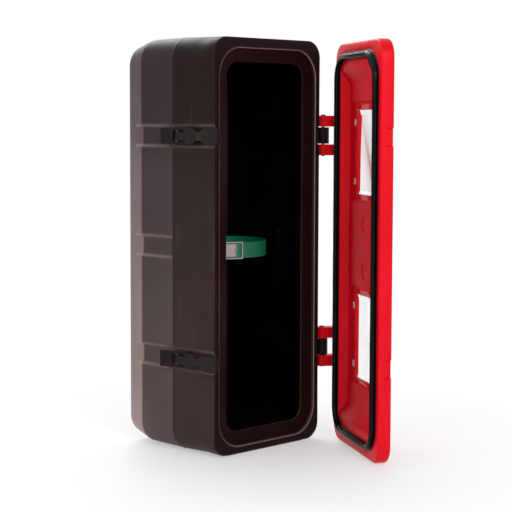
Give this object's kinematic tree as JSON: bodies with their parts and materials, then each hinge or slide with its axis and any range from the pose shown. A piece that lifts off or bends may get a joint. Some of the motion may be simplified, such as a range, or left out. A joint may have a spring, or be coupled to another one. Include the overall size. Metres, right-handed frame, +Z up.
{
  "type": "fire extinguisher cabinet",
  "caption": "Upright moulded plastic cabinet with a hinged red door, two windows, draw latches and an inner retaining band.",
  "frame": {"origin": "middle of the base, on the surface that the cabinet stands on", "axes": "+X to the right seen from the front, +Y to the back, +Z up"},
  "size_m": [0.3814, 0.5337, 0.806],
  "materials": {
    "body_plastic": "fine moulded grain, satin",
    "door_plastic": "moulded red, semi-gloss",
    "seal_rubber": "smooth, slightly glossy",
    "window_clear": "clear moulded acrylic",
    "clip_plastic": "pale moulded clips",
    "bracket_black": "glass-filled nylon",
    "latch_black": "glass-filled nylon, rubbed edges",
    "pin_steel": "zinc plated",
    "band_green": "plastic-coated band",
    "buckle_steel": "brushed"
  },
  "bodies": {
    "cabinet": {"cabinet_shell": "body_plastic", "upper_hinge_bracket": "bracket_black", "lower_hinge_bracket": "bracket_black", "upper_hinge_pin": "pin_steel", "lower_hinge_pin": "pin_steel", "upper_latch_base": "latch_black", "lower_latch_base": "latch_black", "upper_lever_pin": "pin_steel", "lower_lever_pin": "pin_steel", "band_bracket": "buckle_steel", "retaining_band": "band_green", "band_buckle": "buckle_steel"},
    "door": {"door_shell": "door_plastic", "door_seal": "seal_rubber", "upper_window_pane": "window_clear", "lower_window_pane": "window_clear", "upper_window_clips": "clip_plastic", "lower_window_clips": "clip_plastic"},
    "upper_lever": {"upper_latch_lever": "latch_black", "upper_link_pin": "pin_steel"},
    "lower_lever": {"lower_latch_lever": "latch_black", "lower_link_pin": "pin_steel"},
    "upper_link": {"upper_latch_link": "latch_black"},
    "lower_link": {"lower_latch_link": "latch_black"}
  },
  "joints": [
    {"name": "door_hinge", "type": "hinge", "parent": "cabinet", "child": "door", "pos_m": [0.174, -0.113, 0.4], "axis": [0, 0, 1], "range_deg": [-57.5, 62.5]},
    {"name": "upper_lever_pivot", "type": "hinge", "parent": "cabinet", "child": "upper_lever", "pos_m": [-0.149, -0.052, 0.616], "axis": [0, 0, 1], "range_deg": [-10, 100]},
    {"name": "lower_lever_pivot", "type": "hinge", "parent": "cabinet", "child": "lower_lever", "pos_m": [-0.149, -0.052, 0.185], "axis": [0, 0, 1], "range_deg": [-14, 96]},
    {"name": "upper_link_pivot", "type": "hinge", "parent": "upper_lever", "child": "upper_link", "pos_m": [-0.15641, -0.033, 0.616], "axis": [0, 0, 1], "range_deg": [-131, 14]},
    {"name": "lower_link_pivot", "type": "hinge", "parent": "lower_lever", "child": "lower_link", "pos_m": [-0.15772, -0.03356, 0.185], "axis": [0, 0, 1], "range_deg": [-126, 19]}
  ],
  "couplings": [
    {"joint": "upper_link_pivot", "follows": "upper_lever_pivot", "ratio": -1.3},
    {"joint": "lower_link_pivot", "follows": "lower_lever_pivot", "ratio": -1.3}
  ]
}
